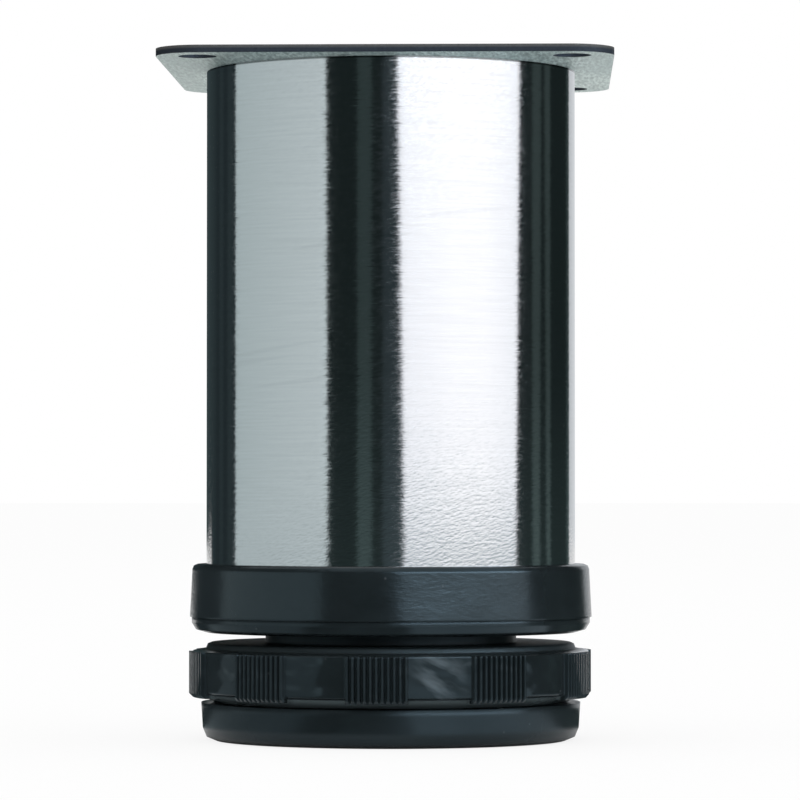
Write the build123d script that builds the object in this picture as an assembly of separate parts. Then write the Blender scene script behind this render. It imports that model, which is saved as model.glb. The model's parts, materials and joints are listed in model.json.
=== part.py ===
from build123d import *
import os
from math import cos, radians, sin, sqrt, tan

# Height-adjustable sofa leg. Millimetres, +Z up, origin at the middle of the face that stands on the floor.

# Tube
TUBE_DIAMETER = 50.0
TUBE_WALL = 1.0
TUBE_LENGTH = 66.7

# Mounting plate
PLATE_OVERHANG = 5.0
PLATE_THICKNESS = 1.0
PLATE_CORNER_RADIUS = 6.0
HOLE_DIAMETER = 5.0
HOLE_EDGE_DISTANCE = 5.5

# Collar: the part that shows below the tube
BAND_HEIGHT = 7.1
BAND_LEDGE = 1.92
BAND_TOP_ROUND = 0.7
BAND_DRAFT = 0.33
PARTING_GROOVE_HEIGHT = 0.2
PARTING_GROOVE_DEPTH = 0.25
LIP_HEIGHT = 1.9
LIP_SETBACK = 0.25
LIP_ROUND_HEIGHT = 1.3
LIP_ROUND_WIDTH = 1.9

# Collar: the plug in the tube and the nut inside it
PLUG_LENGTH = 18.0
PLUG_WALL = 2.0
PLUG_CLEARANCE = 0.3
PLUG_LEAD_IN = 1.0
CRUSH_RIB_COUNT = 12
CRUSH_RIB_WIDTH = 1.2
CRUSH_RIB_CLEARANCE = 0.05
NUT_WALL = 2.45
CORE_GAP = 2.2
CORE_FLOOR = 2.5
CORE_COUNT = 12
CORE_WEB = 1.6

# Grip foot
FOOT_GAP = 1.4
THREAD_CLEARANCE = 0.05
SPIGOT_LENGTH = 26.0
SPIGOT_WALL = 3.2
SPIGOT_LEAD_IN = 1.0
SPIGOT_FLOOR = 2.2
DISC_SETBACK = 1.8
DISC_HEIGHT = 1.1
DISC_ROUND = 0.6
DISC_WALL = 2.4
SHOULDER_RISE = 0.35
GRIP_OVERHANG = 1.8
GRIP_HEIGHT = 5.4
UNDERCUT_HEIGHT = 1.5
UNDERCUT_WIDTH = 2.8
THRUST_LAND = 1.2
CAVITY_COUNT = 10
CAVITY_WEB = 1.6

# Ribbed pads round the grip
PAD_COUNT = 10
PAD_ANGLE = 18.0
PAD_START_ANGLE = 15.9
PAD_DROP = 0.8
PAD_ROOT_DEPTH = 1.8
PAD_RISE = 0.08
PAD_BOTTOM_BEVEL = 0.5
RIBS_PER_PAD = 11
RIB_HEIGHT = 0.6
RIB_ROOT_SHARE = 0.8
RIB_CREST_SHARE = 0.35

# Base glide
BASE_OVERHANG = 0.7
BASE_HEIGHT = 5.1
BASE_DRAFT_ANGLE = 2.4
BASE_BOTTOM_ROUND = 1.7
BASE_FLOOR = 1.8
BASE_RECESS = 0.6
BASE_TREAD = 5.0
BASE_RIM_WALL = 2.4
BASE_CAVITY_COUNT = 8
BASE_CAVITY_WEB = 1.6
THRUST_GAP = 0.1
HUB_DIAMETER = 14.0
HUB_WALL = 1.8
HUB_CLEARANCE = 0.05
HOOK_REACH = 1.0
HOOK_HEIGHT = 2.4
HUB_SLOT_WIDTH = 1.6

# Turned rounds, each made of this many flats
ROUND_FLATS = 2

# Radii, from the tube inwards and outwards
tube_radius = TUBE_DIAMETER / 2
tube_bore_radius = tube_radius - TUBE_WALL
plug_radius = tube_bore_radius - PLUG_CLEARANCE
plug_bore_radius = plug_radius - PLUG_WALL
nut_radius = plug_bore_radius - CORE_GAP
thread_bore_radius = nut_radius - NUT_WALL
spigot_radius = thread_bore_radius - THREAD_CLEARANCE
spigot_bore_radius = spigot_radius - SPIGOT_WALL
grip_radius = tube_radius + GRIP_OVERHANG
rib_radius = grip_radius + RIB_HEIGHT
disc_radius = grip_radius - DISC_SETBACK
thrust_radius = grip_radius - UNDERCUT_WIDTH
cavity_radius = thrust_radius - THRUST_LAND
base_radius = tube_radius + BASE_OVERHANG
base_cavity_radius = base_radius - BASE_RIM_WALL
hub_radius = HUB_DIAMETER / 2
hub_hole_radius = hub_radius + HUB_CLEARANCE

# Heights, from the floor upwards
base_floor_top = BASE_RECESS + BASE_FLOOR
foot_bottom = BASE_HEIGHT + THRUST_GAP
spigot_floor_top = foot_bottom + SPIGOT_FLOOR
hook_bottom = spigot_floor_top + THRUST_GAP
grip_bottom = foot_bottom + UNDERCUT_HEIGHT
grip_top = grip_bottom + GRIP_HEIGHT
disc_top = grip_top + DISC_HEIGHT
cavity_top = disc_top - DISC_WALL
spigot_top = disc_top + SPIGOT_LENGTH
collar_bottom = disc_top + FOOT_GAP
lip_top = collar_bottom + LIP_HEIGHT
band_bottom = lip_top + PARTING_GROOVE_HEIGHT
collar_top = band_bottom + BAND_HEIGHT
core_floor_top = collar_bottom + CORE_FLOOR
plug_top = collar_top + PLUG_LENGTH
tube_top = collar_top + TUBE_LENGTH


def turned(outline):
    """Solid turned about the leg's axis from (radius, height) corners."""
    section = make_face(Polyline(*outline, close=True))
    return revolve(Plane.XZ * section, Axis.Z)


def rounded(face_end, side_end):
    """Corners of an outer round, between its ends on a flat face and on an upright side."""
    turns = [radians(90 * flat / ROUND_FLATS) for flat in range(ROUND_FLATS + 1)]
    width = side_end[0] - face_end[0]
    height = face_end[1] - side_end[1]
    return [(face_end[0] + width * sin(turn), side_end[1] + height * cos(turn)) for turn in turns]


def polar(radius, angle):
    """Point at a radius and an angle in degrees."""
    return radius * cos(radians(angle)), radius * sin(radians(angle))


def pockets(count, inner, outer, web, bottom, top):
    """Ring of straight-sided core pockets, with radial webs of one thickness between them."""
    half = radians(180 / count)
    far = outer * cos(half)
    inner_side = inner * tan(half) - web / 2 / cos(half)
    far_side = far * tan(half) - web / 2 / cos(half)
    corners = [(inner, -inner_side), (far, -far_side), (far, far_side), (inner, inner_side)]
    pocket = Pos(0, 0, bottom) * extrude(make_face(Polyline(*corners, close=True)), top - bottom)
    return [place * pocket for place in PolarLocations(0, count)]


def mounting_plate():
    """Stamped square plate with rounded corners and four screw holes."""
    side = TUBE_DIAMETER + 2 * PLATE_OVERHANG
    spacing = side - 2 * HOLE_EDGE_DISTANCE
    sheet = extrude(RectangleRounded(side, side, PLATE_CORNER_RADIUS), PLATE_THICKNESS)
    punch = Cylinder(HOLE_DIAMETER / 2, 3 * PLATE_THICKNESS)
    punches = [place * punch for place in GridLocations(spacing, spacing, 2, 2)]
    return Pos(0, 0, tube_top) * (sheet - punches)


def tube():
    """Straight tube between the collar's ledge and the plate."""
    ring = Circle(tube_radius) - Circle(tube_bore_radius)
    return Pos(0, 0, collar_top) * extrude(ring, TUBE_LENGTH)


def collar():
    """Moulded collar: band and lip below the tube, ribbed plug in it, cored out round the foot's nut."""
    band_top_radius = tube_radius + BAND_LEDGE
    band_low_radius = band_top_radius + BAND_DRAFT
    lip_radius = band_low_radius - LIP_SETBACK
    groove_radius = lip_radius - PARTING_GROOVE_DEPTH
    lip_round = rounded(
        (lip_radius - LIP_ROUND_WIDTH, collar_bottom),
        (lip_radius, collar_bottom + LIP_ROUND_HEIGHT),
    )
    band_round = rounded(
        (band_top_radius - BAND_TOP_ROUND, collar_top),
        (band_top_radius, collar_top - BAND_TOP_ROUND),
    )
    shell = turned(
        [
            (thread_bore_radius, collar_bottom),
            *lip_round,
            (lip_radius, lip_top),
            (groove_radius, lip_top),
            (band_low_radius, band_bottom),
            *reversed(band_round),
            (plug_radius, collar_top),
            (plug_radius, plug_top - PLUG_LEAD_IN),
            (plug_radius - PLUG_LEAD_IN, plug_top),
            (thread_bore_radius, plug_top),
        ]
    )
    cores = pockets(CORE_COUNT, nut_radius, plug_bore_radius, CORE_WEB, core_floor_top, plug_top)
    rib_inner = plug_radius - PLUG_WALL / 2
    rib_outer = tube_bore_radius - CRUSH_RIB_CLEARANCE
    rib_height = PLUG_LENGTH - 2 * PLUG_LEAD_IN
    rib = Box(rib_outer - rib_inner, CRUSH_RIB_WIDTH, rib_height)
    rib = Pos((rib_inner + rib_outer) / 2, 0, collar_top + rib_height / 2) * rib
    return shell - cores + [place * rib for place in PolarLocations(0, CRUSH_RIB_COUNT)]


def grip_pads():
    """Ten blocks of upright finger ribs, a little longer than the smooth panels between them."""
    pitch = PAD_ANGLE / RIBS_PER_PAD
    root = pitch * RIB_ROOT_SHARE / 2
    crest = pitch * RIB_CREST_SHARE / 2
    pad_bottom = grip_bottom - PAD_DROP
    core_radius = grip_radius - PAD_ROOT_DEPTH
    root_radius = grip_radius + PAD_RISE
    cutter_side = sqrt(2) * PAD_BOTTOM_BEVEL
    cutter_width = rib_radius * radians(pitch)
    cutter = Box(cutter_side, cutter_width, cutter_side)
    cutter = Pos(rib_radius, 0, pad_bottom) * Rot(0, 45, 0) * cutter
    comb = [polar(core_radius, -PAD_ANGLE / 2)]
    cutters = []
    for rib in range(RIBS_PER_PAD):
        middle = (rib + 0.5) * pitch - PAD_ANGLE / 2
        comb.append(polar(root_radius, middle - root))
        comb.append(polar(rib_radius, middle - crest))
        comb.append(polar(rib_radius, middle + crest))
        comb.append(polar(root_radius, middle + root))
        cutters.append(Rot(0, 0, middle) * cutter)
    comb.append(polar(core_radius, PAD_ANGLE / 2))
    pad = Pos(0, 0, pad_bottom) * extrude(make_face(Polyline(*comb, close=True)), grip_top - pad_bottom)
    bevelled = pad - cutters
    return [place * bevelled for place in PolarLocations(0, PAD_COUNT, PAD_START_ANGLE)]


def grip_foot():
    """Moulded grip ring with its top disc and hollow screw spigot, cored out from below."""
    disc_round = rounded((disc_radius - DISC_ROUND, disc_top), (disc_radius, disc_top - DISC_ROUND))
    body = turned(
        [
            (hub_hole_radius, foot_bottom),
            (thrust_radius, foot_bottom),
            (grip_radius, grip_bottom),
            (grip_radius, grip_top),
            (disc_radius, grip_top + SHOULDER_RISE),
            *reversed(disc_round),
            (spigot_radius, disc_top),
            (spigot_radius, spigot_top - SPIGOT_LEAD_IN),
            (spigot_radius - SPIGOT_LEAD_IN, spigot_top),
            (spigot_bore_radius, spigot_top),
            (spigot_bore_radius, spigot_floor_top),
            (hub_hole_radius, spigot_floor_top),
        ]
    )
    cavities = pockets(CAVITY_COUNT, spigot_radius, cavity_radius, CAVITY_WEB, foot_bottom, cavity_top)
    return body - cavities + grip_pads()


def base_glide():
    """Moulded disc that stands on the floor, with a split hub that snaps through the foot's floor."""
    base_low_radius = base_radius - BASE_HEIGHT * tan(radians(BASE_DRAFT_ANGLE))
    recess_radius = base_low_radius - BASE_TREAD
    hook_radius = hub_radius + HOOK_REACH
    hub_top = hook_bottom + HOOK_HEIGHT
    hub_bore_radius = hub_radius - HUB_WALL
    low_round = rounded((base_low_radius - BASE_BOTTOM_ROUND, 0), (base_low_radius, BASE_BOTTOM_ROUND))
    dish = turned(
        [
            (0, BASE_RECESS),
            (recess_radius, BASE_RECESS),
            (recess_radius, 0),
            *low_round,
            (base_radius, BASE_HEIGHT),
            (hub_radius, BASE_HEIGHT),
            (hub_radius, hook_bottom),
            (hook_radius, hook_bottom),
            (hub_radius, hub_top),
            (hub_bore_radius, hub_top),
            (hub_bore_radius, base_floor_top),
            (0, base_floor_top),
        ]
    )
    slot_height = hub_top - foot_bottom
    slot = Box(4 * hook_radius, HUB_SLOT_WIDTH, slot_height)
    slots = [Pos(0, 0, foot_bottom + slot_height / 2) * Rot(0, 0, turn) * slot for turn in (0, 90)]
    cavities = pockets(
        BASE_CAVITY_COUNT,
        hub_radius + HUB_WALL,
        base_cavity_radius,
        BASE_CAVITY_WEB,
        base_floor_top,
        BASE_HEIGHT,
    )
    return dish - slots - cavities


os.makedirs("parts", exist_ok=True)
for piece in (mounting_plate, tube, collar, grip_foot, base_glide):
    export_step(piece(), f"parts/{piece.__name__}.step")
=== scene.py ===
import json
import math

import bmesh
import bpy
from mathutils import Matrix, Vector
from mathutils.kdtree import KDTree


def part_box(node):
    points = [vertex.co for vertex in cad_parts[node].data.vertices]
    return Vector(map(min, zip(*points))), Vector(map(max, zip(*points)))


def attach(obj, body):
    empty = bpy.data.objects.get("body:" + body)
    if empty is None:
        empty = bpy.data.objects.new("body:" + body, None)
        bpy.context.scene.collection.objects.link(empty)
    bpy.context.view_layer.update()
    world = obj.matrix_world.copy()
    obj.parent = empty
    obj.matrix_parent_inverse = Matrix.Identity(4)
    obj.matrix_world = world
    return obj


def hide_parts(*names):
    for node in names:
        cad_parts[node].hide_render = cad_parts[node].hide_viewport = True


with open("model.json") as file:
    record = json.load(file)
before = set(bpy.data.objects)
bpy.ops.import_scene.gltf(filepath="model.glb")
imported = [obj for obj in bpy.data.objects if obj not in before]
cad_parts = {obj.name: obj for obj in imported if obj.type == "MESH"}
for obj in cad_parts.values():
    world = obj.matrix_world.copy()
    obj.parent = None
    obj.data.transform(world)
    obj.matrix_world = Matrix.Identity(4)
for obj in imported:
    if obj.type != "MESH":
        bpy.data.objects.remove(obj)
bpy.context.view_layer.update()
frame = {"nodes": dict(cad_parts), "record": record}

# Sofa leg: materials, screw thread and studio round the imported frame. Metres, +Z up.

MM = 0.001
MICRON = 1e-6

# Camera, fitted to the photograph's 800 x 800 frame
CAMERA_AZIMUTH = math.radians(1.9)
CAMERA_DISTANCE = 612 * MM
CAMERA_HEIGHT = 33.0 * MM
CAMERA_PITCH = math.radians(1.22)
CAMERA_YAW = math.radians(0.117)
CAMERA_LENS = 202.7
SENSOR_WIDTH = 36.0

# Studio: angles are from the camera's direction, positive to the camera's right
CARD_RADIUS = 2.3
LOW_CARD_TOP = 0.42
HIGH_CARD_TOP = 0.8
DIM_CARD_BOTTOM = 1.0
DIM_CARD_TOP = 2.0
CARD_STEP = 0.75
FLOOR_CARD_INNER = 0.03
FLOOR_CARD_HEIGHT = 0.3 * MM
FLOOR_SIZE = 40.0
FLOOR_COLOUR = 0.93
FLOOR_GLOW = 0.85
WORLD_FILL = 0.9
LAMP_FORWARD = 0.2
LAMP_HEIGHT = 1.6
LAMP_SIZE = 1.4
LAMP_POWER = 4.0
PURE_WHITE = (1, 1, 1, 1)

# What the leg mirrors, as stops of angle, lean and colour: dark flags with faint stripes between them, a grey
# panel on the left, a white one on the right and a pale back. Lean turns a stop's upper end.
FLAG = (0.012, 0.019, 0.019)
FLAG_BACK = (0.020, 0.030, 0.034)
STRIPE_BACK = (0.029, 0.043, 0.047)
EDGE_BACK = (0.045, 0.066, 0.070)
FAINT = (0.026, 0.038, 0.042)
STRIPE = (0.038, 0.057, 0.057)
STRIPE_RIGHT = (0.046, 0.066, 0.065)
GREY_FAR = (0.54, 0.64, 0.655)
GREY_NEAR = (0.69, 0.78, 0.80)
GREY_EDGE = (0.74, 0.84, 0.86)
WHITE = (1.55, 1.55, 1.60)
WHITE_EDGE = (1.39, 1.41, 1.48)
PALE = (0.72, 0.75, 0.78)
LOW_SURROUND = (
    (-180, 0, EDGE_BACK), (-145, 0, STRIPE_BACK), (-138, 0, FLAG_BACK), (-135, 0, FLAG_BACK),
    (-133.5, 0, STRIPE_BACK), (-129.5, 0, STRIPE_BACK), (-127.5, 0, FLAG_BACK), (-123.5, 0, FLAG_BACK),
    (-121.5, 0, STRIPE_BACK), (-117, 0, STRIPE_BACK), (-115.5, 0, FLAG_BACK), (-113, 0, FLAG_BACK),
    (-112, 0, GREY_FAR), (-46, 0, GREY_NEAR), (-39.8, -1.8, GREY_EDGE), (-38.4, -1.8, FLAG),
    (-21, 0, FLAG), (-20, 0, STRIPE), (-12.6, 0, STRIPE), (-10.6, 0, FLAG), (-6, 0, FLAG),
    (-4, 0, FAINT), (7, -5.8, FAINT), (9.5, -5.8, WHITE_EDGE), (40, 0, WHITE), (60, 0, WHITE),
    (82.5, 4.6, WHITE_EDGE), (84.5, 4.6, FLAG), (97, 0, FLAG), (99.5, 0, STRIPE_RIGHT),
    (104.5, 2.5, STRIPE_RIGHT), (106.5, 2.5, FLAG), (111.5, -2.5, FLAG), (114, -2.5, STRIPE_RIGHT),
    (116.5, 0, STRIPE_RIGHT), (118.5, 0, FLAG), (141, 0, FLAG), (145, 0, STRIPE), (147.5, 0, STRIPE),
    (149, 0, PALE), (180, 0, PALE),
)
GREY_HIGH = (0.05, 0.06, 0.065)
WHITE_HIGH = (9.2, 10.6, 12.0)
HIGH_SURROUND = (
    (-180, 0, FLAG), (-113, 0, FLAG), (-111, 0, GREY_HIGH), (-41, 0, GREY_HIGH), (-39, 0, FLAG),
    (1, 0, FLAG), (8, 0, WHITE_HIGH), (82, 0, WHITE_HIGH), (87, 0, FLAG), (147, 0, FLAG),
    (149, 0, PALE), (180, 0, PALE),
)
HIGH_DIMMING = 0.1

# The dark flags in front and at the right are paler close to the floor
SKIRT_TOP = 0.11
SKIRT_LIFT = 1.85
LIFTED = (FLAG, FAINT, STRIPE, STRIPE_RIGHT)

# Rings on the floor that carry the surround on, open at the back: the outer radius of each, and its colours
# below the grey and the white panel
FLOOR_START = -150
FLOOR_END = 147.5
FLOOR_RINGS = (
    (0.2, (0.27, 0.33, 0.355), (0.75, 0.85, 0.92)),
    (0.45, (0.22, 0.27, 0.29), (0.38, 0.44, 0.48)),
    (0.85, (0.52, 0.60, 0.62), (0.50, 0.57, 0.61)),
    (1.4, (0.60, 0.69, 0.71), (0.46, 0.54, 0.56)),
    (CARD_RADIUS, (0.62, 0.71, 0.73), (0.50, 0.59, 0.61)),
)

# Materials: sizes of grains are along X, Y and Z, and pairs are a range from low to high
NOISE_LOW = 0.3
NOISE_HIGH = 0.7
BEVEL_SAMPLES = 6

# Sockets of a mix node that take and give colours, by number because others have the same names
MIX_FIRST = 6
MIX_SECOND = 7
MIX_RESULT = 2

# Tube: brush lines with a largest sideways tilt, and dashes that grow shallower from the collar up
STEEL_DARK = (0.605, 0.61, 0.615)
STEEL_LIGHT = (0.635, 0.64, 0.645)
STEEL_ROUGHNESS = (0.05, 0.13)
LINE_SIZES = (9 * MM, 9 * MM, 0.25 * MM)
LINE_DEPTH = 0.6 * MICRON
TILT_SIZES = (3 * MM, 3 * MM, 0.1 * MM)
BRUSH_TILT = 0.022
DASH_SIZES = (0.75 * MM, 0.75 * MM, 0.3 * MM)
DASH_SLOPE = math.radians(-15)
DASH_DEPTH = 9.0 * MICRON
COARSE_FROM = 3 * MM
COARSE_TO = 22 * MM
COARSE_LEAST = 0.45

# Tube: scratches where their noise is lowest, and a painted shadow line below the plate, where the plate
# meets the tube
SCRATCH_SIZES = (40 * MM, 40 * MM, 1.6 * MM)
SCRATCH_SLOPE = math.radians(-7)
SCRATCH_LEVELS = (0.17, 0.2)
SCRATCH_SHARE = 0.12
SCRATCH_COLOUR = (0.4, 0.41, 0.42)
SEAM_SHADOW_HEIGHT = 0.3 * MM
SEAM_SHADOW_SHARE = 0.8
SEAM_SHADOW_COLOUR = (0.05, 0.06, 0.06)

# Plate: its zinc skin, with flakes underneath
ZINC_DARK = (0.24, 0.33, 0.31)
ZINC_LIGHT = (0.88, 0.98, 0.94)
ZINC_GRAIN_SIZES = (0.4 * MM, 3.0 * MM, 0.4 * MM)
ZINC_GRAIN_DEPTH = 25 * MICRON
ZINC_CLOUD = (0.38, 0.47, 0.455)
ZINC_CLOUD_SIZES = (5 * MM, 20 * MM, 5 * MM)
ZINC_CLOUD_SHARE = 0.5
FLAKE_COLOUR = (1, 1, 1)
FLAKE_SPACING = 3 * MM
FLAKE_REACH = (0.06, 0.1)

# Plate: a top that is duller and less metallic than the underside
TOP_ROUGHNESS = (0.8, 1.0)
UNDERSIDE_SHINE = 0.4
TOP_METALLIC = 0.2
UNDERSIDE_METALLIC = 0.7

# Plate: edges cut bright above and torn dark below, at shares of the thickness
TORN_EDGE = (0.015, 0.022, 0.033)
CUT_EDGE = (0.085, 0.085, 0.082)
CUT_BAND = (0.5, 0.8)
EDGE_FLATNESS = (0.35, 0.75)
PLATE_EDGE_RADIUS = 0.12 * MM

# Black mouldings: clouding, sink waves, grain and specks of dust
BLACK = (0.0105, 0.0148, 0.0165)
DUSTY_BLACK = (0.015, 0.0205, 0.023)
BLACK_SPECULAR = 0.4
BLACK_TINT = (0.66, 0.88, 1.0, 1.0)
CLOUD_SIZES = (14 * MM, 14 * MM, 8 * MM)
WAVE_SIZES = (4 * MM, 4 * MM, 3 * MM)
GRAIN_SIZES = (1.0 * MM, 1.0 * MM, 0.5 * MM)
SPECK_COLOUR = (0.06, 0.065, 0.07)
SPECK_SPACING = 4.5 * MM
SPECK_REACH = (0.015, 0.05)
SPECK_SHARE = 0.6
EDGE_RADIUS = 0.35 * MM

# Black mouldings: what each has of its own
COLLAR_ROUGHNESS = (0.16, 0.22)
COLLAR_WAVES = 25 * MICRON
COLLAR_GRAIN = 20 * MICRON
FOOT_ROUGHNESS = (0.06, 0.11)
FOOT_WAVES = 100 * MICRON
BASE_ROUGHNESS = (0.2, 0.28)
BASE_WAVES = 20 * MICRON
BASE_EDGE_RADIUS = 1.2 * MM
FINE_GRAIN = 2 * MICRON

# Foot: matt above the grip ring, with painted reflected light in the groove below it
RIM_SHARE = 0.97
MATT_BLACK = (0.016, 0.021, 0.022)
MATT_EXTRA = 0.35
GROOVE_HEIGHT = 1.6 * MM
GROOVE_PAINTED_LIGHT = (0.085, 0.108, 0.115)

# Painted highlight on one panel of the grip, right of the middle, in pale slanting wisps
PAINTED_HIGHLIGHT_ANGLE = 13.4
PAINTED_HIGHLIGHT_HEIGHT = 9.6 * MM
PAINTED_HIGHLIGHT_CORE = 2.1 * MM
PAINTED_HIGHLIGHT_REACH = 4.2 * MM
PAINTED_HIGHLIGHT_COLOUR = (0.12, 0.15, 0.17)
WISP_SIZES = (6.5 * MM, 6.5 * MM, 2.0 * MM)
WISP_SLOPE = math.radians(28)
WISP_LEVELS = (0.45, 0.75)

# Screw thread of the foot
THREAD_DEPTH = 1.2 * MM
THREAD_CREST_SHARE = 0.35
THREAD_ROOT_SHARE = 0.22
THREAD_STEPS = 72
THREAD_MARGIN = 0.4 * MM
SHARP_ANGLE = math.radians(25)
WELD_DISTANCE = 2 * MICRON


def around(angle):
    """Unit vector on the ground at an angle in degrees from the camera's direction."""
    turn = CAMERA_AZIMUTH + math.radians(angle)
    return Vector((math.sin(turn), -math.cos(turn), 0.0))


def link_object(name, data):
    """New object in the scene."""
    piece = bpy.data.objects.new(name, data)
    bpy.context.scene.collection.objects.link(piece)
    return piece


def put(tree, kind, sockets=None, **settings):
    """Adds a node, with its settings, and links or fills its input sockets by name or number."""
    node = tree.nodes.new(kind)
    for name, value in settings.items():
        setattr(node, name, value)
    for name, value in (sockets or {}).items():
        if isinstance(value, bpy.types.NodeSocket):
            tree.links.new(value, node.inputs[name])
        else:
            node.inputs[name].default_value = value
    return node


def calculate(tree, operation, *values):
    """Result of a maths node on numbers and sockets."""
    return put(tree, "ShaderNodeMath", dict(enumerate(values)), operation=operation).outputs[0]


def new_material(name):
    """Empty node material."""
    material = bpy.data.materials.new(name)
    material.use_nodes = True
    material.node_tree.nodes.clear()
    return material, material.node_tree


def finish_material(tree, shader):
    """Links a shader to the material's output."""
    put(tree, "ShaderNodeOutputMaterial", {"Surface": shader})


def make_camera():
    """Camera in front of the foot, tilted up a little."""
    data = bpy.data.cameras.new("camera")
    data.lens = CAMERA_LENS
    data.sensor_width = SENSOR_WIDTH
    camera = link_object("camera", data)
    camera.location = around(0) * CAMERA_DISTANCE + Vector((0, 0, CAMERA_HEIGHT))
    camera.rotation_euler = (math.pi / 2 + CAMERA_PITCH, 0, CAMERA_AZIMUTH - CAMERA_YAW)
    bpy.context.scene.camera = camera


def make_world():
    """White surroundings for what looks at them, and a plainer fill for what they light."""
    world = bpy.data.worlds.new("studio")
    bpy.context.scene.world = world
    world.use_nodes = True
    tree = world.node_tree
    tree.nodes.clear()
    path = put(tree, "ShaderNodeLightPath")
    seen = calculate(tree, "MAXIMUM", path.outputs["Is Camera Ray"], path.outputs["Is Glossy Ray"])
    seen = calculate(tree, "MAXIMUM", seen, path.outputs["Is Transmission Ray"])
    level = put(tree, "ShaderNodeMapRange", {"Value": seen, "To Min": WORLD_FILL, "To Max": 1.0})
    sky = put(tree, "ShaderNodeBackground", {"Color": PURE_WHITE, "Strength": level.outputs["Result"]})
    put(tree, "ShaderNodeOutputWorld", {"Surface": sky.outputs["Background"]})


def make_floor():
    """Large pale floor that keeps the leg's shadow and runs into the white surroundings."""
    half = FLOOR_SIZE / 2
    corners = [(-half, -half, 0), (half, -half, 0), (half, half, 0), (-half, half, 0)]
    data = bpy.data.meshes.new("floor")
    data.from_pydata(corners, [], [(0, 1, 2, 3)])
    material, tree = new_material("floor")
    path = put(tree, "ShaderNodeLightPath")
    pale = put(tree, "ShaderNodeBsdfDiffuse", {"Color": (FLOOR_COLOUR, FLOOR_COLOUR, FLOOR_COLOUR, 1)})
    glow = put(tree, "ShaderNodeEmission", {"Color": PURE_WHITE, "Strength": 1.0})
    share = calculate(tree, "MULTIPLY", path.outputs["Is Camera Ray"], FLOOR_GLOW)
    mixed = put(
        tree,
        "ShaderNodeMixShader",
        {0: share, 1: pale.outputs["BSDF"], 2: glow.outputs["Emission"]},
    )
    finish_material(tree, mixed.outputs["Shader"])
    data.materials.append(material)
    link_object("floor", data)


def make_lamp():
    """Soft overhead lamp."""
    data = bpy.data.lights.new("overhead", "AREA")
    data.shape = "DISK"
    data.size = LAMP_SIZE
    data.energy = LAMP_POWER
    lamp = link_object("overhead", data)
    lamp.location = (0, -LAMP_FORWARD, LAMP_HEIGHT)
    lamp.visible_glossy = False


def between(first, second, share):
    """Values part of the way from one tuple to another."""
    return [a + (b - a) * share for a, b in zip(first, second)]


def small_steps(stops):
    """Angle, lean and colour in small steps from stop to stop."""
    for (angle, lean, colour), (next_angle, next_lean, next_colour) in zip(stops, stops[1:]):
        count = max(1, round((next_angle - angle) / CARD_STEP))
        for step in range(count):
            share = step / count
            turn = between((angle, lean), (next_angle, next_lean), share)
            yield *turn, between(colour, next_colour, share)
    yield stops[-1]


def glowing_paint(name):
    """Material that glows in the colours painted on a mesh."""
    material, tree = new_material(name)
    colour = put(tree, "ShaderNodeVertexColor", layer_name="paint")
    glow = put(tree, "ShaderNodeEmission", {"Color": colour.outputs["Color"], "Strength": 1.0})
    finish_material(tree, glow.outputs["Emission"])
    return material


def card(name, *edges):
    """Ring-shaped card between edges given as radius, height and stops, for reflections only."""
    points = []
    colours = []
    for steps in zip(*(small_steps(stops) for radius, height, stops in edges)):
        for (radius, height, stops), (angle, lean, colour) in zip(edges, steps):
            points.append(around(angle + lean * height / LOW_CARD_TOP) * radius + Vector((0, 0, height)))
            colours.append((*colour, 1))
    rows = len(edges)
    faces = [
        (corner, corner + rows, corner + rows + 1, corner + 1)
        for corner in range(len(points) - rows)
        if (corner + 1) % rows
    ]
    data = bpy.data.meshes.new(name)
    data.from_pydata(points, [], faces)
    paint = data.color_attributes.new("paint", "FLOAT_COLOR", "POINT")
    for corner, colour in zip(paint.data, colours):
        corner.color = colour
    data.materials.append(glowing_paint(name))
    piece = link_object(name, data)
    piece.visible_camera = False
    piece.visible_diffuse = False
    piece.visible_shadow = False


def paler(stops):
    """Stops with the paler flags that the surround has close to the floor."""
    return [
        (angle, lean, tuple(SKIRT_LIFT * value for value in colour) if colour in LIFTED else colour)
        for angle, lean, colour in stops
    ]


def floor_stops(grey, white):
    """Stops of a floor card with the given colours below the grey and the white panel."""
    below = {GREY_FAR: grey, GREY_NEAR: grey, GREY_EDGE: grey, WHITE: white, WHITE_EDGE: white}
    return [
        (max(angle, FLOOR_START), 0, below.get(colour, colour))
        for angle, lean, colour in paler(LOW_SURROUND)
        if angle <= FLOOR_END
    ]


def dimmed(stops):
    """Stops at the dimmer level that the surround has higher up."""
    return [(angle, lean, tuple(HIGH_DIMMING * value for value in colour)) for angle, lean, colour in stops]


def make_cards():
    """Dark flags and bright panels that give the bright tube its upright bands."""
    inner = FLOOR_CARD_INNER
    for number, (outer, grey, white) in enumerate(FLOOR_RINGS):
        stops = floor_stops(grey, white)
        card(f"floor_card_{number}", (inner, FLOOR_CARD_HEIGHT, stops), (outer, FLOOR_CARD_HEIGHT, stops))
        inner = outer
    card(
        "low_card",
        (CARD_RADIUS, FLOOR_CARD_HEIGHT, paler(LOW_SURROUND)),
        (CARD_RADIUS, SKIRT_TOP, LOW_SURROUND),
        (CARD_RADIUS, LOW_CARD_TOP, LOW_SURROUND),
    )
    card(
        "high_card",
        (CARD_RADIUS, LOW_CARD_TOP, HIGH_SURROUND),
        (CARD_RADIUS, HIGH_CARD_TOP, HIGH_SURROUND),
        (CARD_RADIUS, DIM_CARD_BOTTOM, dimmed(HIGH_SURROUND)),
        (CARD_RADIUS, DIM_CARD_TOP, dimmed(HIGH_SURROUND)),
    )


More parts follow.
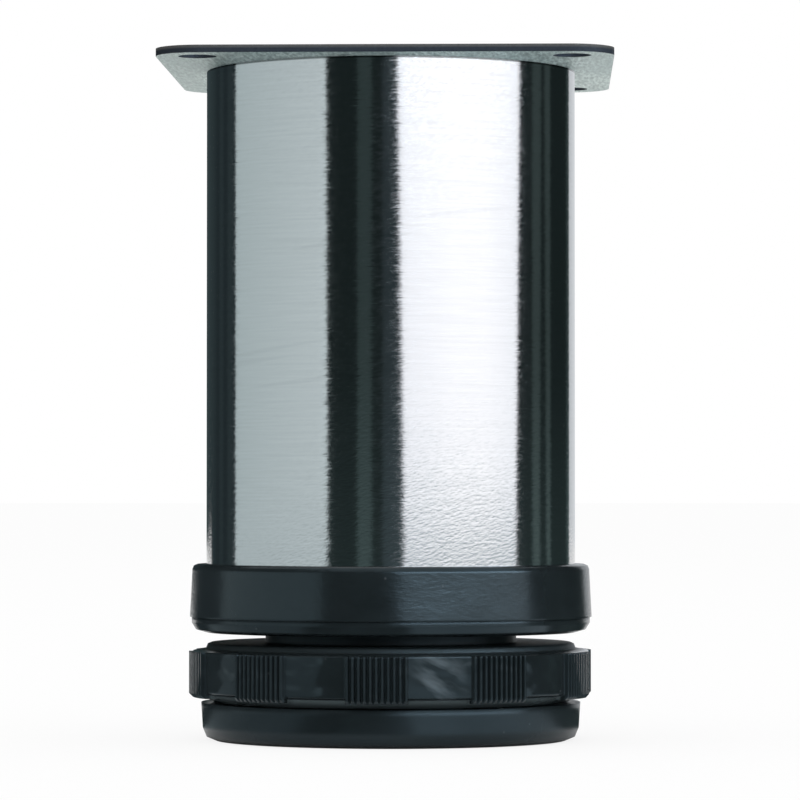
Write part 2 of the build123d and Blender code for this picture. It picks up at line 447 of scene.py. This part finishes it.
def stretched_noise(tree, place, sizes, slope=0.0, detail=2.0, roughness=0.5):
    """Noise whose grains have the given sizes along X, Y and Z, in metres, and slope down to +X."""
    mapped = put(
        tree,
        "ShaderNodeMapping",
        {"Vector": place, "Rotation": (0, slope, 0), "Scale": sizes},
        vector_type="TEXTURE",
    )
    noise = put(
        tree,
        "ShaderNodeTexNoise",
        {"Vector": mapped.outputs["Vector"], "Scale": 1.0, "Detail": detail, "Roughness": roughness},
    )
    return noise.outputs["Fac"]


def scattered_points(tree, place, spacing):
    """Distance from the nearest of many scattered points, as a share of their spacing."""
    sockets = {"Vector": place, "Scale": 1 / spacing, "Randomness": 1.0}
    return put(tree, "ShaderNodeTexVoronoi", sockets, feature="F1").outputs["Distance"]


def spread(tree, value, low, high, start=NOISE_LOW, end=NOISE_HIGH):
    """A value mapped from one range to another, by default from the range of most noise."""
    mapped = put(
        tree,
        "ShaderNodeMapRange",
        {"Value": value, "From Min": start, "From Max": end, "To Min": low, "To Max": high},
    )
    return mapped.outputs["Result"]


def height_of(tree, vector):
    """The Z of a place or direction."""
    return put(tree, "ShaderNodeSeparateXYZ", {"Vector": vector}).outputs["Z"]


def calculate_vector(tree, operation, sockets, result="Vector"):
    """Result of a vector maths node."""
    return put(tree, "ShaderNodeVectorMath", sockets, operation=operation).outputs[result]


def opaque(colour):
    """A colour with full alpha, or a socket as it is."""
    return colour if isinstance(colour, bpy.types.NodeSocket) else (*colour, 1)


def blend_colours(tree, factor, first, second):
    """Mix of two colours, each a colour or a socket."""
    sockets = {"Factor": factor, MIX_FIRST: opaque(first), MIX_SECOND: opaque(second)}
    return put(tree, "ShaderNodeMix", sockets, data_type="RGBA").outputs[MIX_RESULT]


def rounded_edges(tree, radius):
    """Normal of a surface whose edges are shaded as rounds."""
    return put(tree, "ShaderNodeBevel", {"Radius": radius}, samples=BEVEL_SAMPLES).outputs["Normal"]


def bumped(tree, noise, depth, normal=None, strength=1.0):
    """Normal of a surface with bumps of a depth, on top of those that a normal has already."""
    sockets = {"Strength": strength, "Distance": depth, "Height": noise}
    if normal is not None:
        sockets["Normal"] = normal
    return put(tree, "ShaderNodeBump", sockets).outputs["Normal"]


def sideways(tree, normal, tilts):
    """Turns a normal a little round the upright axis, by noise from 0 to 1; most of it only slightly."""
    signed = spread(tree, tilts, -1, 1)
    cubed = calculate(tree, "POWER", signed, 3.0)
    girth = put(tree, "ShaderNodeTangent", direction_type="RADIAL", axis="Z").outputs["Tangent"]
    amount = calculate(tree, "MULTIPLY", cubed, BRUSH_TILT)
    shift = calculate_vector(tree, "SCALE", {0: girth, "Scale": amount})
    turned = calculate_vector(tree, "ADD", {0: normal, 1: shift})
    return calculate_vector(tree, "NORMALIZE", {0: turned})


def brushed_steel(bottom, top):
    """Bright tube, brushed round its girth and more coarsely low down, with a painted shadow line below its
    top.
    """
    material, tree = new_material("brushed_steel")
    place = put(tree, "ShaderNodeTexCoord").outputs["Object"]
    height = height_of(tree, place)
    lines = stretched_noise(tree, place, LINE_SIZES)
    dashes = stretched_noise(tree, place, DASH_SIZES, slope=DASH_SLOPE, detail=3.0)
    scratches = stretched_noise(tree, place, SCRATCH_SIZES, slope=SCRATCH_SLOPE, detail=0.0)
    tilts = stretched_noise(tree, place, TILT_SIZES, roughness=0.6)

    colour = blend_colours(tree, spread(tree, lines, 0, 1), STEEL_DARK, STEEL_LIGHT)
    scratch = spread(tree, scratches, SCRATCH_SHARE, 0, *SCRATCH_LEVELS)
    colour = blend_colours(tree, scratch, colour, SCRATCH_COLOUR)
    # Painted shadow: a dark line just below the top, where the plate sits on the tube
    seam_shadow = spread(tree, height, 0, SEAM_SHADOW_SHARE, start=top - SEAM_SHADOW_HEIGHT, end=top - 0.5 * SEAM_SHADOW_HEIGHT)
    colour = blend_colours(tree, seam_shadow, colour, SEAM_SHADOW_COLOUR)

    coarse = spread(tree, height, 1, COARSE_LEAST, start=bottom + COARSE_FROM, end=bottom + COARSE_TO)
    normal = bumped(tree, lines, LINE_DEPTH)
    normal = bumped(tree, dashes, DASH_DEPTH, normal, strength=coarse)
    shade = put(
        tree,
        "ShaderNodeBsdfPrincipled",
        {
            "Base Color": colour,
            "Metallic": 1.0,
            "Roughness": spread(tree, dashes, *STEEL_ROUGHNESS),
            "Normal": sideways(tree, normal, tilts),
        },
    )
    finish_material(tree, shade.outputs["BSDF"])
    return material


def zinc_skin(tree, place, grain, below):
    """Colour of the plate's faces: mottled, with bright flakes on the share that faces down."""
    cloud = stretched_noise(tree, place, ZINC_CLOUD_SIZES, detail=3.0)
    flakes = spread(tree, scattered_points(tree, place, FLAKE_SPACING), 1, 0, *FLAKE_REACH)
    skin = blend_colours(tree, spread(tree, grain, 0, 1), ZINC_DARK, ZINC_LIGHT)
    skin = blend_colours(tree, spread(tree, cloud, 0, ZINC_CLOUD_SHARE), skin, ZINC_CLOUD)
    return blend_colours(tree, calculate(tree, "MULTIPLY", flakes, below), skin, FLAKE_COLOUR)


def plate_edge(tree, place, bottom, top):
    """Colour of the plate's edges, cut bright above and torn dark below."""
    start, end = (bottom + share * (top - bottom) for share in CUT_BAND)
    cut = spread(tree, height_of(tree, place), 0, 1, start, end)
    return blend_colours(tree, cut, TORN_EDGE, CUT_EDGE)


def galvanised_steel(bottom, top):
    """Dull plate with a zinc skin and plain edges, shinier underneath."""
    material, tree = new_material("galvanised_steel")
    texture = put(tree, "ShaderNodeTexCoord")
    place = texture.outputs["Object"]
    upright = height_of(tree, texture.outputs["Normal"])
    below = spread(tree, upright, 1, 0, start=-0.5, end=0.5)
    edge = spread(tree, calculate(tree, "ABSOLUTE", upright), 1, 0, *EDGE_FLATNESS)
    grain = stretched_noise(tree, place, ZINC_GRAIN_SIZES, roughness=0.6)
    dull = spread(tree, grain, *TOP_ROUGHNESS)
    skin = zinc_skin(tree, place, grain, below)
    shade = put(
        tree,
        "ShaderNodeBsdfPrincipled",
        {
            "Base Color": blend_colours(tree, edge, skin, plate_edge(tree, place, bottom, top)),
            "Metallic": spread(tree, below, TOP_METALLIC, UNDERSIDE_METALLIC, start=0, end=1),
            "Roughness": calculate(tree, "MULTIPLY_ADD", below, -UNDERSIDE_SHINE, dull),
            "Normal": bumped(tree, grain, ZINC_GRAIN_DEPTH, rounded_edges(tree, PLATE_EDGE_RADIUS)),
        },
    )
    finish_material(tree, shade.outputs["BSDF"])
    return material


def painted_highlight_share(tree, place, middle):
    """Share of a painted highlight round a point: pale slanting wisps that fade outwards."""
    wisps = stretched_noise(tree, place, WISP_SIZES, slope=WISP_SLOPE, detail=3.0)
    away = calculate_vector(tree, "DISTANCE", {0: place, 1: middle}, "Value")
    fade = spread(tree, away, 1, 0, start=PAINTED_HIGHLIGHT_CORE, end=PAINTED_HIGHLIGHT_REACH)
    return calculate(tree, "MULTIPLY", spread(tree, wisps, 0, 1, *WISP_LEVELS), fade)


def painted_groove_light(tree, place, radius, height):
    """Share of the painted reflected light in a groove below a height and inside a radius."""
    flat = calculate_vector(tree, "MULTIPLY", {0: place, 1: (1, 1, 0)})
    out = calculate_vector(tree, "LENGTH", {0: flat}, "Value")
    below = spread(tree, height_of(tree, place), 1, 0, start=height - EDGE_RADIUS, end=height)
    inside = spread(tree, out, 1, 0, start=radius - EDGE_RADIUS, end=radius)
    return calculate(tree, "MULTIPLY", below, inside)


def moulded_plastic(
    name,
    roughness_range,
    waviness,
    graininess=FINE_GRAIN,
    edge_radius=EDGE_RADIUS,
    matt_from=None,
    painted_light_groove=None,
    painted_highlight_centre=None,
):
    """Black moulding with faint clouding, sink waves, a fine grain and a few specks of dust.

    It can be matt from a height up, paler with painted light in a groove of a radius and height, and carry a
    painted highlight round a point.
    """
    material, tree = new_material(name)
    place = put(tree, "ShaderNodeTexCoord").outputs["Object"]
    cloud = stretched_noise(tree, place, CLOUD_SIZES, detail=4.0, roughness=0.6)
    waves = stretched_noise(tree, place, WAVE_SIZES, detail=1.0)
    grain = stretched_noise(tree, place, GRAIN_SIZES, detail=3.0)
    specks = spread(tree, scattered_points(tree, place, SPECK_SPACING), SPECK_SHARE, 0, *SPECK_REACH)

    roughness = spread(tree, cloud, *roughness_range)
    colour = blend_colours(tree, spread(tree, cloud, 0, 1), BLACK, DUSTY_BLACK)
    colour = blend_colours(tree, specks, colour, SPECK_COLOUR)
    # Painted light: the groove under the grip ring is made paler, standing in for light reflected into it
    if painted_light_groove is not None:
        colour = blend_colours(tree, painted_groove_light(tree, place, *painted_light_groove), colour, GROOVE_PAINTED_LIGHT)
    # Painted highlight: pale wisps on one panel of the grip stand in for a cloudy reflection
    if painted_highlight_centre is not None:
        colour = blend_colours(tree, painted_highlight_share(tree, place, painted_highlight_centre), colour, PAINTED_HIGHLIGHT_COLOUR)
    if matt_from is not None:
        matt = spread(tree, height_of(tree, place), 0, 1, start=matt_from, end=matt_from + EDGE_RADIUS)
        colour = blend_colours(tree, matt, colour, MATT_BLACK)
        roughness = calculate(tree, "MULTIPLY_ADD", matt, MATT_EXTRA, roughness)

    normal = bumped(tree, waves, waviness, rounded_edges(tree, edge_radius))
    shade = put(
        tree,
        "ShaderNodeBsdfPrincipled",
        {
            "Base Color": colour,
            "Roughness": roughness,
            "Specular IOR Level": BLACK_SPECULAR,
            "Specular Tint": BLACK_TINT,
            "Normal": bumped(tree, grain, graininess, normal),
        },
    )
    finish_material(tree, shade.outputs["BSDF"])
    return material


def thread_cutter(radius, bottom, top, pitch):
    """Helical ridge that cuts the foot's thread: a trapezoid that narrows towards the root."""
    crest = pitch * (1 - THREAD_CREST_SHARE) / 2
    root = pitch * THREAD_ROOT_SHARE / 2
    outer = radius + THREAD_MARGIN
    inner = radius - THREAD_DEPTH
    profile = [(outer, -crest), (inner, -root), (inner, root), (outer, crest)]
    turns = (top - bottom) / pitch
    count = math.ceil(turns * THREAD_STEPS)
    mesh = bmesh.new()
    rings = []
    for step in range(count + 1):
        turn = 2 * math.pi * step / THREAD_STEPS
        height = bottom + pitch * step / THREAD_STEPS
        rings.append(
            [mesh.verts.new((r * math.cos(turn), r * math.sin(turn), height + rise)) for r, rise in profile]
        )
    for ring, following in zip(rings, rings[1:]):
        for side in range(len(profile)):
            after = (side + 1) % len(profile)
            mesh.faces.new((ring[side], ring[after], following[after], following[side]))
    mesh.faces.new(rings[0])
    mesh.faces.new(rings[-1])
    bmesh.ops.recalc_face_normals(mesh, faces=mesh.faces)
    data = bpy.data.meshes.new("thread_cutter")
    mesh.to_mesh(data)
    mesh.free()
    return link_object("thread_cutter", data)


def frame_normals(mesh, source):
    """Gives a cut mesh the frame's own shading back, at each corner that the cut left in place."""
    corners = [[] for vertex in source.vertices]
    for face in source.polygons:
        for index in face.loop_indices:
            corner = source.loops[index]
            corners[corner.vertex_index].append((face.normal.copy(), corner.normal.copy()))
    tree = KDTree(len(source.vertices))
    for vertex in source.vertices:
        tree.insert(vertex.co, vertex.index)
    tree.balance()
    shading = [corner.normal.copy() for corner in mesh.loops]
    for face in mesh.polygons:
        for index in face.loop_indices:
            place = mesh.vertices[mesh.loops[index].vertex_index].co
            options = [pair for found in tree.find_range(place, WELD_DISTANCE) for pair in corners[found[1]]]
            if options:
                shading[index] = max(options, key=lambda pair: pair[0].dot(face.normal))[1]
    mesh.normals_split_custom_set(shading)


def welded_copy(source, name):
    """Copy of a mesh with its split corners joined."""
    mesh = bmesh.new()
    mesh.from_mesh(source)
    bmesh.ops.remove_doubles(mesh, verts=mesh.verts, dist=WELD_DISTANCE)
    data = bpy.data.meshes.new(name)
    mesh.to_mesh(data)
    mesh.free()
    return data


def cut_away(piece, cutter):
    """Cuts one object out of another and removes the cutter."""
    cut = piece.modifiers.new("cut", "BOOLEAN")
    cut.object = cutter
    cut.operation = "DIFFERENCE"
    cut.solver = "EXACT"
    graph = bpy.context.evaluated_depsgraph_get()
    piece.data = bpy.data.meshes.new_from_object(piece.evaluated_get(graph))
    piece.modifiers.clear()
    bpy.data.objects.remove(cutter)


def threaded_foot():
    """The grip foot with the screw thread that the frame's plain spigot stands for."""
    source = frame["nodes"]["grip_foot"]
    coupling = frame["record"]["behaviour"]["couplings"][0]
    pitch = coupling["ratio"] * 2 * math.pi
    spigot_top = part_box("grip_foot")[1].z
    collar_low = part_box("collar")[0].z
    spigot = max(
        math.hypot(vertex.co.x, vertex.co.y) for vertex in source.data.vertices if vertex.co.z > collar_low
    )
    foot = link_object("threaded_foot", welded_copy(source.data, "threaded_foot"))
    cut_away(foot, thread_cutter(spigot, collar_low + pitch / 2, spigot_top + pitch, pitch))
    foot.data.shade_smooth()
    foot.data.set_sharp_from_angle(angle=SHARP_ANGLE)
    frame_normals(foot.data, source.data)
    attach(foot, "grip")
    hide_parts("grip_foot")
    return foot


def foot_moulding():
    """Plastic of the grip foot, which follows the grip ring's own sizes."""
    grip_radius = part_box("grip_foot")[1].x
    rim_radius = RIM_SHARE * grip_radius
    points = [vertex.co for vertex in frame["nodes"]["grip_foot"].data.vertices]
    return moulded_plastic(
        "foot_moulding",
        FOOT_ROUGHNESS,
        FOOT_WAVES,
        matt_from=max(point.z for point in points if point.xy.length > rim_radius),
        painted_light_groove=(rim_radius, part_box("grip_foot")[0].z + GROOVE_HEIGHT),
        painted_highlight_centre=around(PAINTED_HIGHLIGHT_ANGLE) * grip_radius + Vector((0, 0, PAINTED_HIGHLIGHT_HEIGHT)),
    )


def dress(piece, material):
    """Gives a piece one material."""
    piece.data.materials.clear()
    piece.data.materials.append(material)


def dress_leg():
    """Thread and materials of the five pieces, with the plate left out of what the others mirror."""
    nodes = frame["nodes"]
    foot = threaded_foot()
    plate_low, plate_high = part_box("mounting_plate")
    tube_low, tube_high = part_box("tube")
    dress(nodes["mounting_plate"], galvanised_steel(plate_low.z, plate_high.z))
    dress(nodes["tube"], brushed_steel(tube_low.z, tube_high.z))
    dress(nodes["collar"], moulded_plastic("collar_moulding", COLLAR_ROUGHNESS, COLLAR_WAVES, COLLAR_GRAIN))
    dress(foot, foot_moulding())
    base = moulded_plastic("base_moulding", BASE_ROUGHNESS, BASE_WAVES, edge_radius=BASE_EDGE_RADIUS)
    dress(nodes["base_glide"], base)
    nodes["mounting_plate"].visible_glossy = False


bpy.context.scene.view_settings.view_transform = "Standard"
make_camera()
make_world()
make_floor()
make_lamp()
make_cards()
dress_leg()
